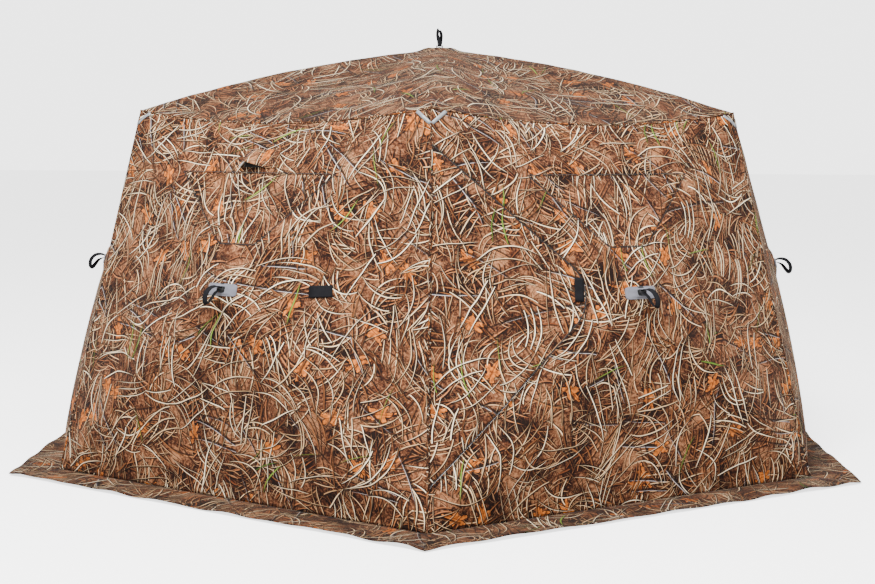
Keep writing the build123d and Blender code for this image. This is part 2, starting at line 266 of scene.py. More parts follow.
def finish_cloth(piece, materials, thickness=CLOTH):
    """Gives cloth its print outside, its lining inside and its thickness, inwards from the face."""
    for material in materials:
        piece.data.materials.append(material)
    wall = piece.modifiers.new("thickness", "SOLIDIFY")
    wall.thickness = thickness
    wall.offset = -1
    if len(materials) > 1:
        wall.material_offset = 1
        wall.material_offset_rim = 0
    return piece


def follow_hub(piece, body, start, end, root="shell"):
    """Bakes the piece's transform and reads the share of the hub's travel stored with each point, which is
    not used further; taut cloth stays straight from its edge to the hub."""
    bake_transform(piece)
    share = np.empty(len(piece.data.vertices), np.float32)
    piece.data.attributes["share"].data.foreach_get("value", share)
    return piece


def area_of(piece):
    areas = np.empty(len(piece.data.polygons))
    piece.data.polygons.foreach_get("area", areas)
    return float(areas.sum())


# %% [markdown]
# ## Node helpers
# The print is built from many small sums, so these helpers keep each of them on one line. An effect
# that several materials share goes into a node group with named inputs and outputs.

# %% Node helpers
def wire(tree, node, name, value):
    """Links a socket, or sets a plain value."""
    if isinstance(value, bpy.types.NodeSocket):
        tree.links.new(value, node.inputs[name])
    else:
        node.inputs[name].default_value = value


def node(tree, kind, settings=None, **inputs):
    """New node with its settings and its inputs; underscores in input names stand for spaces."""
    made = tree.nodes.new(kind)
    for key, value in (settings or {}).items():
        setattr(made, key, value)
    for key, value in inputs.items():
        wire(tree, made, key.replace("_", " "), value)
    return made


def calc(tree, operation, *values, clamp=False):
    made = tree.nodes.new("ShaderNodeMath")
    made.operation = operation
    made.use_clamp = clamp
    for number, value in enumerate(values):
        wire(tree, made, number, value)
    return made.outputs[0]


def blend_colour(tree, share, under, over, how="MIX"):
    made = tree.nodes.new("ShaderNodeMix")
    made.data_type = "RGBA"
    made.blend_type = how
    wire(tree, made, 0, share)
    wire(tree, made, 6, under)
    wire(tree, made, 7, over)
    return made.outputs[2]


def ramp(tree, share, *stops):
    """Colour ramp with (position, colour) stops."""
    made = tree.nodes.new("ShaderNodeValToRGB")
    band = made.color_ramp.elements
    while len(band) < len(stops):
        band.new(0.5)
    for element, (position, colour) in zip(band, stops):
        element.position = position
        element.color = (*colour, 1)
    wire(tree, made, 0, share)
    return made.outputs[0]


def vector_calc(tree, operation, first, second):
    """Sum, difference or scaled vector; a distance comes out as a plain value."""
    made = node(tree, "ShaderNodeVectorMath", {"operation": operation})
    wire(tree, made, 0, first)
    wire(tree, made, "Scale" if operation == "SCALE" else 1, second)
    return made.outputs["Value" if operation == "DISTANCE" else "Vector"]


def noise(tree, place, scale, detail=2.0, roughness=0.5, flat=False):
    """Cloudy pattern; flat reads only the first two numbers of the place."""
    kind = {"noise_dimensions": "2D" if flat else "3D"}
    made = node(tree, "ShaderNodeTexNoise", kind, Vector=place, Scale=scale)
    wire(tree, made, "Detail", detail)
    wire(tree, made, "Roughness", roughness)
    return made.outputs


def own_place(tree):
    """Place on the piece itself, so that a pattern moves with it."""
    return node(tree, "ShaderNodeTexCoord").outputs["Object"]


def raise_surface(tree, shader, height, strength, distance):
    """Bump from a height, into the shader's normal."""
    raised = node(tree, "ShaderNodeBump", Strength=strength, Distance=distance, Height=height)
    tree.links.new(raised.outputs[0], shader.inputs["Normal"])


def new_group(name, inputs, outputs):
    """Empty node group: inputs are {name: default}, with a tuple for a vector and four for a colour."""
    group = bpy.data.node_groups.new(name, "ShaderNodeTree")
    for label, default in inputs.items():
        kind = "NodeSocketFloat"
        if isinstance(default, tuple):
            kind = "NodeSocketColor" if len(default) == 4 else "NodeSocketVector"
        socket = group.interface.new_socket(name=label, in_out="INPUT", socket_type=kind)
        socket.default_value = default
    for label, kind in outputs.items():
        group.interface.new_socket(name=label, in_out="OUTPUT", socket_type="NodeSocket" + kind)
    return group, group.nodes.new("NodeGroupInput").outputs, group.nodes.new("NodeGroupOutput")


def use_group(tree, group, **inputs):
    made = tree.nodes.new("ShaderNodeGroup")
    made.node_tree = group
    for key, value in inputs.items():
        wire(tree, made, key.replace("_", " "), value)
    return made.outputs


def new_material(name, roughness, sheen=0.0, specular=0.3):
    """Material with one Principled shader; constants sit on the shader's own sockets."""
    material = bpy.data.materials.new(name)
    material.use_nodes = True
    tree = material.node_tree
    shader = tree.nodes["Principled BSDF"]
    shader.inputs["Roughness"].default_value = roughness
    shader.inputs["Sheen Weight"].default_value = sheen
    shader.inputs["Specular IOR Level"].default_value = specular
    return material, tree, shader


# %% [markdown]
# ## The print: reeds
# The cloth is printed with a dry reed bed: layer on layer of curved blades, each with its own shadow,
# over mottled brown litter. One blade is a curved, tapering band. A cell pattern scatters roots over
# the cloth, and every root throws a few blades at random angles. Stacking the same group at several
# sizes and colours gives the depth of the real print, and nothing in it repeats.

# %% Reed group
def scatter(group, given, shift):
    """Random roots, one to a cell of given size: the scaled place, the place seen from the nearest
    root, and three random numbers that belong to it."""
    scaled = vector_calc(group, "SCALE", given["Place"], calc(group, "DIVIDE", 1.0, given["Cell"]))
    spot = vector_calc(group, "ADD", scaled, shift)
    cells = node(group, "ShaderNodeTexVoronoi", {"voronoi_dimensions": "2D", "feature": "F1"},
                 Vector=spot, Scale=1.0, Randomness=1.0)
    local = vector_calc(group, "SUBTRACT", spot, cells.outputs["Position"])
    return spot, local, node(group, "ShaderNodeSeparateColor", Color=cells.outputs["Color"]).outputs


EDGE_SOFT = 0.0011  # width over which a blade's edge fades


def make_reeds(blades):
    """Every root has its own angle and bend. Blade number k is turned a little from that; its middle
    line is y = bend * x * x, and its half width is w * (1 - (x / l) ** 2) times a random share."""
    group, given, result = new_group(
        f"reeds_{blades}",
        {"Place": (0.0, 0.0, 0.0), "Cell": 0.2, "Lean": 1.57, "Spread": 2.0, "Length": 0.08,
         "Width": 0.003, "Curve": 1.5, "Keep": 0.8, "Fan": 0.7, "Seed": 0.0},
        {"Mask": "Float", "Tone": "Float", "Side": "Float", "Shadow": "Float"},
    )
    shift = node(group, "ShaderNodeCombineXYZ", X=calc(group, "MULTIPLY", given["Seed"], 7.31),
                 Y=calc(group, "MULTIPLY", given["Seed"], 3.77)).outputs[0]
    _, local, chance = scatter(group, given, shift)
    length = calc(group, "DIVIDE", given["Length"], given["Cell"])
    width = calc(group, "DIVIDE", given["Width"], given["Cell"])
    edge = calc(group, "DIVIDE", EDGE_SOFT, given["Cell"])
    drop = calc(group, "MULTIPLY", width, 1.5)
    swing = calc(group, "SUBTRACT", chance[0], 0.5)
    heading = calc(group, "MULTIPLY_ADD", swing, given["Spread"], given["Lean"])
    bow = calc(group, "MULTIPLY", calc(group, "MULTIPLY_ADD", chance[1], 2.0, -1.0), given["Curve"])
    mask = tone = side = shadow = 0.0
    for k in range(blades):
        stretch, offset = 11.3 + 6.7 * k, 0.37 * k
        pick = [calc(group, "FRACT", calc(group, "MULTIPLY_ADD", c, stretch, offset)) for c in chance]
        angle = calc(group, "MULTIPLY_ADD", calc(group, "SUBTRACT", pick[0], 0.5), given["Fan"], heading)
        turned = node(group, "ShaderNodeVectorRotate", {"rotation_type": "Z_AXIS", "invert": True},
                      Vector=local, Angle=angle).outputs[0]
        x, y, _ = node(group, "ShaderNodeSeparateXYZ", Vector=turned).outputs
        bend = calc(group, "MULTIPLY", calc(group, "MULTIPLY_ADD", pick[1], 0.8, 0.5), bow)
        off = calc(group, "SUBTRACT", y, calc(group, "MULTIPLY", bend, calc(group, "MULTIPLY", x, x)))
        beside = 0.19 * (k - (blades - 1) / 2) - 0.08
        off = calc(group, "ADD", off, calc(group, "MULTIPLY_ADD", pick[2], 0.16, beside))
        reach = calc(group, "DIVIDE", x, length)
        taper = calc(group, "SUBTRACT", 1.0, calc(group, "MULTIPLY", reach, reach))
        widest = calc(group, "MULTIPLY", width, calc(group, "ADD", pick[1], 0.45))
        half = calc(group, "MULTIPLY", widest, taper)
        half = calc(group, "SUBTRACT", half, calc(group, "GREATER_THAN", pick[2], given["Keep"]))
        gap = calc(group, "ABSOLUTE", off)
        here = calc(group, "DIVIDE", calc(group, "SUBTRACT", half, gap), edge, clamp=True)
        under = calc(group, "SUBTRACT", calc(group, "ADD", half, drop),
                     calc(group, "ABSOLUTE", calc(group, "ADD", off, drop)))
        under = calc(group, "DIVIDE", under, calc(group, "MULTIPLY", edge, 3.0), clamp=True)
        keep = calc(group, "SUBTRACT", 1.0, here)
        level = calc(group, "MULTIPLY", pick[0], here)
        slant = calc(group, "MULTIPLY", calc(group, "DIVIDE", off, calc(group, "MAXIMUM", half, 1e-4)), here)
        tone = calc(group, "MULTIPLY_ADD", tone, keep, level) if k else level
        side = calc(group, "MULTIPLY_ADD", side, keep, slant) if k else slant
        mask = calc(group, "MAXIMUM", mask, here) if k else here
        shadow = calc(group, "MAXIMUM", shadow, under) if k else under
    for label, value in (("Mask", mask), ("Tone", tone), ("Side", side), ("Shadow", shadow)):
        group.links.new(value, result.inputs[label])
    print(group.name, "has", len(group.nodes), "nodes")
    return group


REEDS = make_reeds(3)

# %% [markdown]
# ## The print: oak leaves
# Fallen oak leaves lie among the reeds. A leaf is drawn round its cell's root in polar form: the edge
# swings in and out to make lobes, a darker rib runs down the middle and the blade is blotched.

# %% Leaf group
LEAF_SQUASH = 0.55
RIB_WIDTH = 0.012


def make_leaves():
    """Edge of a leaf: r = size * (0.62 + 0.26 * cos(5 a)) times a ragged noise, squashed across by
    LEAF_SQUASH."""
    group, given, result = new_group(
        "oak_leaves", {"Place": (0.0, 0.0, 0.0), "Cell": 0.3, "Size": 0.05, "Keep": 0.6, "Seed": 0.0},
        {"Mask": "Float", "Tone": "Float", "Shadow": "Float"},
    )
    shift = node(group, "ShaderNodeCombineXYZ", X=given["Seed"], Y=given["Seed"]).outputs[0]
    spot, local, chance = scatter(group, given, shift)
    turned = node(group, "ShaderNodeVectorRotate", {"rotation_type": "Z_AXIS"}, Vector=local,
                  Angle=calc(group, "MULTIPLY", chance[0], 6.28)).outputs[0]
    x, y, _ = node(group, "ShaderNodeSeparateXYZ", Vector=turned).outputs
    wide = calc(group, "DIVIDE", y, LEAF_SQUASH)
    squares = calc(group, "ADD", calc(group, "MULTIPLY", x, x), calc(group, "MULTIPLY", wide, wide))
    radius = calc(group, "SQRT", squares)
    lobes = calc(group, "COSINE", calc(group, "MULTIPLY", calc(group, "ARCTAN2", wide, x), 5.0))
    size = calc(group, "DIVIDE", given["Size"], given["Cell"])
    ragged = noise(group, spot, 14.0, 3.0, flat=True)["Fac"]
    rim = calc(group, "MULTIPLY", size, calc(group, "MULTIPLY_ADD", lobes, 0.26, 0.62))
    rim = calc(group, "MULTIPLY", rim, calc(group, "ADD", ragged, 0.55))
    rim = calc(group, "SUBTRACT", rim, calc(group, "GREATER_THAN", chance[1], given["Keep"]))
    mask = calc(group, "DIVIDE", calc(group, "SUBTRACT", rim, radius), 0.012, clamp=True)
    beyond = calc(group, "SUBTRACT", calc(group, "MULTIPLY", rim, 1.35), radius)
    shadow = calc(group, "DIVIDE", beyond, 0.05, clamp=True)
    rib = calc(group, "DIVIDE", calc(group, "ABSOLUTE", y), RIB_WIDTH, clamp=True)
    blotch = calc(group, "MULTIPLY", calc(group, "MULTIPLY_ADD", ragged, 1.8, -0.4), rib)
    for label, value in (("Mask", mask), ("Tone", blotch), ("Shadow", shadow)):
        group.links.new(value, result.inputs[label])
    return group


LEAVES = make_leaves()

# %% [markdown]
# ## The print as a whole
# Back to front: litter, thin dark stems, tan reeds, leaves, long pale reeds, twigs and a few green
# blades. Every layer darkens what lies under its own shadow before it is laid on, which is what
# makes a flat print look deep.

# %% The whole print
LAYERS = [
    # name, cell, lean, spread, length, width, curve, keep, fan, seed,
    #     dark colour, light colour, shadow
    ("litter_stems", 0.055, 1.2, 6.28, 0.034, 0.0012, 1.2, 0.95, 2.5, 1.0,
     (0.07, 0.020, 0.008), (0.42, 0.21, 0.10), 0.60),
    ("litter_stalks", 0.080, 1.9, 6.28, 0.046, 0.0016, 1.0, 0.95, 1.6, 2.0,
     (0.035, 0.010, 0.005), (0.52, 0.28, 0.14), 0.70),
    ("brown_reeds", 0.120, 1.3, 3.0, 0.085, 0.0030, 0.8, 0.85, 0.9, 3.0,
     (0.10, 0.025, 0.008), (0.42, 0.17, 0.065), 0.85),
    ("tan_reeds", 0.125, 2.0, 3.2, 0.095, 0.0019, 0.9, 0.95, 0.8, 4.0,
     (0.26, 0.12, 0.05), (0.74, 0.48, 0.27), 0.85),
    ("LEAVES", 0.21, 0, 0, 0.066, 0, 0, 0.55, 0, 5.0,
     (0.075, 0.014, 0.003), (0.60, 0.18, 0.03), 0.92),
    ("pale_reeds", 0.160, 1.0, 2.2, 0.120, 0.0022, 0.8, 0.97, 0.6, 6.0,
     (0.36, 0.20, 0.09), (0.92, 0.72, 0.46), 0.90),
    ("twigs", 0.280, 2.5, 1.6, 0.170, 0.0032, 0.25, 0.34, 0.5, 7.0,
     (0.014, 0.012, 0.016), (0.42, 0.40, 0.42), 0.85),
    ("dark_reeds", 0.150, 1.6, 2.4, 0.110, 0.0030, 0.6, 0.75, 0.6, 8.0,
     (0.035, 0.010, 0.004), (0.24, 0.09, 0.03), 0.75),
    ("cream_reeds", 0.185, 2.1, 2.2, 0.140, 0.0020, 0.9, 0.97, 0.6, 9.0,
     (0.52, 0.34, 0.17), (1.0, 0.90, 0.68), 0.95),
    ("long_reeds", 0.240, 1.0, 1.9, 0.180, 0.0022, 0.7, 0.90, 0.5, 10.0,
     (0.50, 0.33, 0.17), (1.0, 0.92, 0.72), 0.95),
    ("green_blades", 0.300, 0.9, 2.0, 0.100, 0.0026, 0.6, 0.24, 0.8, 11.0,
     (0.03, 0.09, 0.010), (0.20, 0.34, 0.04), 0.60),
]


WANDER = 0.040  # how far the print is pushed about
TRACE = 1e-7
UNDER_SHADOW = (0.006, 0.003, 0.002, 1)


def make_print():
    """Colour of the cloth at a place on its map: the place wanders a little, so that no line is
    straight, then every layer of LAYERS is laid over the litter."""
    group, given, result = new_group("reed_print", {"Place": (0.0, 0.0, 0.0)}, {"Color": "Color"})
    wander = noise(group, given["Place"], 4.0, 1.5, flat=True)["Color"]
    wave = vector_calc(group, "SCALE", vector_calc(group, "SUBTRACT", wander, (0.5, 0.5, 0.5)), WANDER)
    place = vector_calc(group, "ADD", given["Place"], wave)
    broad = noise(group, place, 6.5, 4.0, 0.62, flat=True)["Fac"]
    fine = noise(group, place, 75.0, 3.0, 0.7, flat=True)["Fac"]
    mixed = calc(group, "MULTIPLY_ADD", calc(group, "SUBTRACT", fine, 0.5), 0.75, broad)
    colour = ramp(group, mixed, (0.36, (0.007, 0.003, 0.002)), (0.47, (0.040, 0.012, 0.005)),
                  (0.58, (0.13, 0.050, 0.023)), (0.74, (0.30, 0.14, 0.068)))
    for name, cell, lean, spread, length, width, curve, keep, fan, seed, dark, light, depth in LAYERS:
        if name == "LEAVES":
            layer = use_group(group, LEAVES, Place=place, Cell=cell, Size=length, Keep=keep, Seed=seed)
            level = layer["Tone"]
        else:
            layer = use_group(group, REEDS, Place=place, Cell=cell, Lean=lean, Spread=spread, Length=length,
                              Width=width, Curve=curve, Keep=keep, Fan=fan, Seed=seed)
            level = calc(group, "MULTIPLY_ADD", layer["Side"], -0.30, layer["Tone"], clamp=True)
        if name == "twigs":  # one pale edge on a dark twig
            level = calc(group, "GREATER_THAN", layer["Side"], 0.25)
        tint = ramp(group, level, (0.0, dark), (1.0, light))
        shaded = calc(group, "MULTIPLY", layer["Shadow"], depth)
        colour = blend_colour(group, shaded, colour, UNDER_SHADOW)
        colour = blend_colour(group, layer["Mask"], colour, tint)
        # a trace of this layer is added to the next one's place; without it ten layers came out
        # black, perhaps because they were all worked out at once
        place = vector_calc(group, "ADD", place, vector_calc(group, "SCALE", colour, TRACE))
    group.links.new(colour, result.inputs["Color"])
    print("print has", len(LAYERS), "layers and", len(group.nodes), "nodes")
    return group


PRINT = make_print()

# %% [markdown]
# ## Weave
# Under the print the cloth is a plain weave. Two crossed waves make the threads, and a soft noise
# makes the padding between the cloth's layers lumpy. Both only raise the surface.

# %% Weave group and cloth materials
def make_weave():
    """Height = product of two sine waves across each other, a thread apart, plus soft noise."""
    sockets = {"Place": (0.0, 0.0, 0.0), "Thread": 0.0012, "Lumps": 0.5}
    group, given, result = new_group("plain_weave", sockets, {"Height": "Float"})
    x, y, _ = node(group, "ShaderNodeSeparateXYZ", Vector=given["Place"]).outputs
    turn = calc(group, "DIVIDE", 6.2832, given["Thread"])  # a full turn for each thread
    warp = calc(group, "SINE", calc(group, "MULTIPLY", x, turn))
    weft = calc(group, "SINE", calc(group, "MULTIPLY", y, turn))
    threads = calc(group, "MULTIPLY", calc(group, "MULTIPLY", warp, weft), 0.12)
    soft = noise(group, given["Place"], 22.0, 3.0)["Fac"]
    height = calc(group, "MULTIPLY_ADD", soft, given["Lumps"], threads)
    group.links.new(height, result.inputs["Height"])
    return group


WEAVE = make_weave()


def cloth_material(name, tint, bump=0.0012, lumps=1.0):
    """Printed cloth: the reed print times a tint, over the weave; on the roof and the ground flap the darker
    tint is painted shade.
    """
    material, tree, shader = new_material(name, roughness=0.85, sheen=0.02, specular=0.12)
    place = node(tree, "ShaderNodeUVMap", {"uv_map": "print"}).outputs[0]
    printed = use_group(tree, PRINT, Place=place)
    colour = blend_colour(tree, 1.0, printed["Color"], (*tint, 1), "MULTIPLY")
    tree.links.new(colour, shader.inputs["Base Color"])
    weave = use_group(tree, WEAVE, Place=place, Lumps=lumps)
    raise_surface(tree, shader, weave["Height"], 0.6, bump)
    return material


WALL_CLOTH = cloth_material("reed_print_wall", (1.12, 1.06, 1.0))
# the roof is the walls' print, darkened by its tint as painted shade
SHADED_ROOF_CLOTH = cloth_material("reed_print_roof_shaded", (0.66, 0.60, 0.55))
# the ground flap is the walls' print, darkened further by its tint as painted shade
SHADED_SKIRT_CLOTH = cloth_material("reed_print_skirt_shaded", (0.55, 0.50, 0.45), bump=0.002)
BINDING = cloth_material("reed_print_binding", (0.50, 0.46, 0.44))
PIPING = cloth_material("reed_print_piping", (0.85, 0.82, 0.80))


def woven_material(name, dark, light, thread, roughness=0.85, sheen=0.2, specular=0.25):
    """Plain woven stuff: threads show as a weave between two close colours."""
    material, tree, shader = new_material(name, roughness, sheen, specular)
    place = own_place(tree)
    weave = use_group(tree, WEAVE, Place=place, Thread=thread, Lumps=0.6)
    speck = noise(tree, place, 140.0)["Fac"]
    threads = calc(tree, "MULTIPLY", weave["Height"], 0.9)
    level = calc(tree, "ADD", threads, calc(tree, "MULTIPLY", speck, 0.35))
    wire(tree, shader, "Base Color", ramp(tree, level, (0.2, dark), (0.85, light)))
    raise_surface(tree, shader, weave["Height"], 0.5, 0.0008)
    return material


LINING = woven_material("lining_cloth", (0.035, 0.036, 0.040), (0.075, 0.077, 0.083), 0.002)
WEBBING = woven_material("black_webbing", (0.002, 0.002, 0.003), (0.010, 0.010, 0.012), 0.0026,
                         sheen=0.0, specular=0.12)
ZIP_TAPE = woven_material("zip_tape", (0.004, 0.004, 0.004), (0.018, 0.017, 0.016), 0.0016)
SCREEN = woven_material("window_mesh", (0.002, 0.002, 0.002), (0.03, 0.03, 0.03), 0.0022)
PATCH = woven_material("grey_patch", (0.10, 0.10, 0.12), (0.17, 0.17, 0.20), 0.0018, roughness=0.6)
REFLECTOR = woven_material("reflective_tape", (0.16, 0.17, 0.18), (0.27, 0.28, 0.30), 0.004, roughness=0.35,
                           sheen=0.0, specular=0.6)

# %% [markdown]
# ## Patches of a wall
# Each triangle of cloth is drawn between its sewn edge and a small circle round the hub. A window
# turns its triangle into a ring, and the door turns its own into a horseshoe, so that the openings
# are real. Neighbouring patches share their points along the pole lines, and weld there.

# %% Patch helpers
RIDGE_ROWS, EDGE_COLUMNS = 57, 65


def facet_sizes(edge):
    """Length of the edge, how far along it the hub lies, and the slant height to the hub."""
    start, end = (CORNERS[c] for c in EDGES[edge])
    length = float(np.linalg.norm(end - start))
    along = (end - start) / length
    return length, float((HUB - start) @ along), math.hypot(edge_distance(*HUB, edge), POP)


def facet_place(edge, u, v):
    """Place in the wall's plane of the point u along an edge and v up its triangle of cloth."""
    start, end = (CORNERS[c] for c in EDGES[edge])
    length, _, slant = facet_sizes(edge)
    along = (end - start) / length
    inward = np.array([-along[1], along[0]]) * edge_distance(*HUB, edge) / slant
    u, v = np.broadcast_arrays(np.asarray(u, float), np.asarray(v, float))
    return start + u[..., None] * along + v[..., None] * inward


def side_lines(edge, v, gap):
    """u of the two pole lines at height v, each moved in by gap."""
    length, across, slant = facet_sizes(edge)
    rest = length - across
    near = v * across / slant + gap * math.hypot(across, slant) / slant
    return near, length - v * rest / slant - gap * math.hypot(rest, slant) / slant


def side_tip(edge, gap):
    """Where the two pole lines meet when each is moved in by gap."""
    near, far = side_lines(edge, 0, gap)
    v = facet_sizes(edge)[2] * (far - near) / facet_sizes(edge)[0]
    return side_lines(edge, v, gap)[0], v


def hub_circle(rim):
    """Points on the eyelet's edge, each in line with one on the rim."""
    towards = rim - HUB
    return HUB + HUB_HOLE * towards / np.linalg.norm(towards, axis=-1, keepdims=True)


def ruled(first, last, rows):
    """Grid of straight lines from each point of one line to the same point of another."""
    t = np.linspace(0, 1, rows)[:, None, None]
    return first * (1 - t) + last * t


def edge_line(edge, count):
    start, end = (CORNERS[c] for c in EDGES[edge])
    return start + (end - start) * np.linspace(0, 1, count)[:, None]


def sector(edge):
    """A plain triangle of cloth."""
    rim = edge_line(edge, EDGE_COLUMNS)
    return ruled(rim, hub_circle(rim), RIDGE_ROWS)


def horseshoe_line(edge):
    """From the edge's far end up the pole line, round the eyelet and down the other pole line."""
    rim = edge_line(edge, EDGE_COLUMNS)
    t = np.linspace(0, 1, RIDGE_ROWS)[:, None]
    eyelet = hub_circle(rim)[::-1]
    up = rim[-1] * (1 - t) + eyelet[0] * t
    down = eyelet[-1] * (1 - t) + rim[0] * t
    return np.concatenate([up, eyelet[1:-1], down])


def rounded(corners, radii, count=14):
    """Closed outline with corner i rounded to radii[i]."""
    corners = np.asarray(corners, float)
    line = []
    for i, (corner, radius) in enumerate(zip(corners, radii)):
        if radius == 0:
            line.append(corner[None])
            continue
        before, after = corners[i - 1] - corner, corners[(i + 1) % len(corners)] - corner
        before, after = before / np.linalg.norm(before), after / np.linalg.norm(after)
        half = math.acos(float(before @ after)) / 2
        centre = corner + (before + after) / np.linalg.norm(before + after) * radius / math.sin(half)
        back = radius / math.tan(half)
        first, last = corner + before * back - centre, corner + after * back - centre
        turn = math.atan2(first[0] * last[1] - first[1] * last[0], float(first @ last))
        angle = math.atan2(first[1], first[0]) + turn * np.linspace(0, 1, count)
        line.append(centre + radius * np.stack([np.cos(angle), np.sin(angle)], axis=1))
    return np.concatenate(line)


def evenly(line, places):
    """Points at those shares of a line's length."""
    step = np.r_[0, np.cumsum(np.linalg.norm(np.diff(line, axis=0), axis=1))]
    places = np.asarray(places) * step[-1]
    return np.stack([np.interp(places, step, line[:, i]) for i in range(line.shape[1])], axis=1)


def ring_patch(outer, hole, rows):
    """From a closed outer line in to a hole, along rays through the hole's middle."""
    centre = hole.mean(axis=0)
    angle = np.arctan2(*(hole - centre).T[::-1])
    order = np.argsort(angle)
    ray = np.arctan2(*(outer - centre).T[::-1])
    reach = np.interp(ray, angle[order], np.linalg.norm(hole - centre, axis=1)[order], period=2 * np.pi)
    inner = centre + reach[:, None] * np.stack([np.cos(ray), np.sin(ray)], axis=1)
    return ruled(outer, inner, rows)


def strip(line, low, high, closed=False):
    """Narrow grid beside a line in the wall's plane, from low to high on its left."""
    path = np.concatenate([line[-2:-1], line, line[1:2]]) if closed else line
    tangent = np.gradient(path, axis=0)
    tangent = tangent[1:-1] if closed else tangent
    tangent = tangent / np.linalg.norm(tangent, axis=1, keepdims=True)
    normal = np.stack([-tangent[:, 1], tangent[:, 0]], axis=1)
    return line[None] + normal[None] * np.array([low, (low + high) / 2, high])[:, None, None]


# %% [markdown]
# ## Door and window outlines
# The door fills the triangle of cloth beside the front seam, a hand's width in from the poles, with a
# round end by the hub. Each window follows the two upper poles and has rounded feet. These are
# the same outlines as the CAD panels have, so flaps and openings stay matched.

# %% Outlines
DOOR_GAP, DOOR_ROUND = 0.120, 0.180
WINDOW_HEAD, WINDOW_SILL, WINDOW_GAP, WINDOW_ROUND = 0.320, 0.212, 0.070, 0.060
MESH_LAP = 0.012  # window mesh past the edge of its opening


def door_line(low, gap, count=121):
    """Open outline from the foot of the door, round the tip, to its head; the seam side is left out."""
    near, far = side_lines("left", low, DOOR_GAP + gap)
    shape = rounded([(far, low), side_tip("left", DOOR_GAP + gap), (near, low)], [0, DOOR_ROUND - gap, 0], 30)
    return evenly(facet_place("left", *shape.T), np.linspace(0, 1, count))


def window_line(gap, count=161):
    """Closed outline from the middle of the window's head."""
    foot = facet_sizes("top")[2] - WINDOW_SILL - gap
    head = WINDOW_HEAD + gap
    high, low = side_lines("top", head, WINDOW_GAP + gap), side_lines("top", foot, WINDOW_GAP + gap)
    corners = [(high[1], head), (low[1], foot), (low[0], foot), (high[0], head)]
    shape = rounded(corners, [0, WINDOW_ROUND - gap, WINDOW_ROUND - gap, 0])
    middle = np.array([[(high[0] + high[1]) / 2, head]])
    return evenly(facet_place("top", *np.concatenate([middle, shape, middle]).T), np.linspace(0, 1, count))


DOOR, WINDOW = door_line(0.0, 0.0), window_line(0.0)
print("door", (DOOR.max(0) - DOOR.min(0)).round(2), "m")
print("window", (WINDOW.max(0) - WINDOW.min(0)).round(2), "m")

# %% [markdown]
# ## The six walls
# Each wall is one skin from seam to seam, between the sewn shell and its own hub. Inside,
# the cloth is dark grey, so that nobody shows against it.

# %% Walls
def wall_map(flat, wall):
    """The print runs level round the blind; every wall starts at another place in it."""
    return flat + np.array([2.7 * wall + 0.4, 0.3 * wall])


def wall_patches(wall):
    """Grids in the wall's own plane."""
    grids = [sector("bottom"), sector("right")]
    if wall == DOOR_WALL:
        outer = horseshoe_line("left")
        share = np.r_[np.linspace(0, 0.46, RIDGE_ROWS), np.linspace(0.46, 0.54, EDGE_COLUMNS)[1:-1],
                      np.linspace(0.54, 1, RIDGE_ROWS)]
        grids.append(ruled(outer, evenly(DOOR, share), 13))
    else:
        grids.append(sector("left"))
    if wall in WINDOW_WALLS:
        outer = np.concatenate([edge_line("top", EDGE_COLUMNS)[:-1], horseshoe_line("top")])
        grids.append(ring_patch(outer, WINDOW, 15))
    else:
        grids.append(sector("top"))
    return grids


def bend_with_wall(piece, wall):
    """Passes the piece to follow_hub with the two ends of its wall hub's travel."""
    ends = [tuple(on_wall(wall, 0.0, HUB_UP, height)) for height in (0.0, POP)]
    return follow_hub(piece, WALLS[wall] + "_hub", *ends)


def build_wall(wall):
    """Skin of one wall, with real openings where it has a door or a window."""
    name = WALLS[wall]
    flats = wall_patches(wall)
    skins = [wall_skin(flat[..., 0], flat[..., 1], wall) for flat in flats]
    out = wall_axes(wall)[3]
    piece = mesh_piece(name + "_wall_cloth", [s[0] for s in skins], out, [wall_map(f, wall) for f in flats],
                       [s[1] for s in skins])
    piece = finish_cloth(piece, [WALL_CLOTH, LINING])
    nodes = [name + "_wall"]
    if wall == DOOR_WALL:
        nodes.append("door_panel")
    if wall in WINDOW_WALLS:
        nodes.append(name + "_window_panel")
    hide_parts(*nodes)
    return bend_with_wall(piece, wall)


WALL_PIECES = [build_wall(wall) for wall in range(SIDES)]
for piece in WALL_PIECES:
    print(piece.name, len(piece.data.polygons), "faces,", round(area_of(piece), 2), "m2")


def lay(name, wall, flats, lift, materials, body, thickness=0.002, shift=(0.0, 0.0), rise=None):
    """A piece of cloth or tape laid on a wall's skin, lift above it; it rides one body, or rides none,
    its transform baked, when body is None. rise adds a height to every point."""
    out = wall_axes(wall)[3]
    points, shares = [], []
    for number, flat in enumerate(flats):
        skin, share = wall_skin(flat[..., 0], flat[..., 1], wall)
        height = lift if rise is None else lift + rise[number]
        points.append(skin + np.asarray(height)[..., None] * out)
        shares.append(share)
    maps = [wall_map(flat, wall) + np.array(shift) for flat in flats]
    piece = mesh_piece(name, points, out, maps, shares)
    finish_cloth(piece, materials, thickness)
    if body is not None:
        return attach(piece, body)
    return bend_with_wall(piece, wall)


# %% [markdown]
# ## Door
# The door is one soft flap. It is sewn down its seam side and zipped along the other two. A coil zip
# is two black tapes, half on the door and half on the wall, and a black tab of webbing at the tip gives
# the hand something to pull.

# %% Door
def split_grid(line, rows, columns):
    """Fills an open outline: rows join its first half to its second half."""
    first = evenly(line, np.linspace(0, 0.5, rows))
    last = evenly(line, np.linspace(1, 0.5, rows))
    return ruled(first, last, columns).transpose(1, 0, 2)


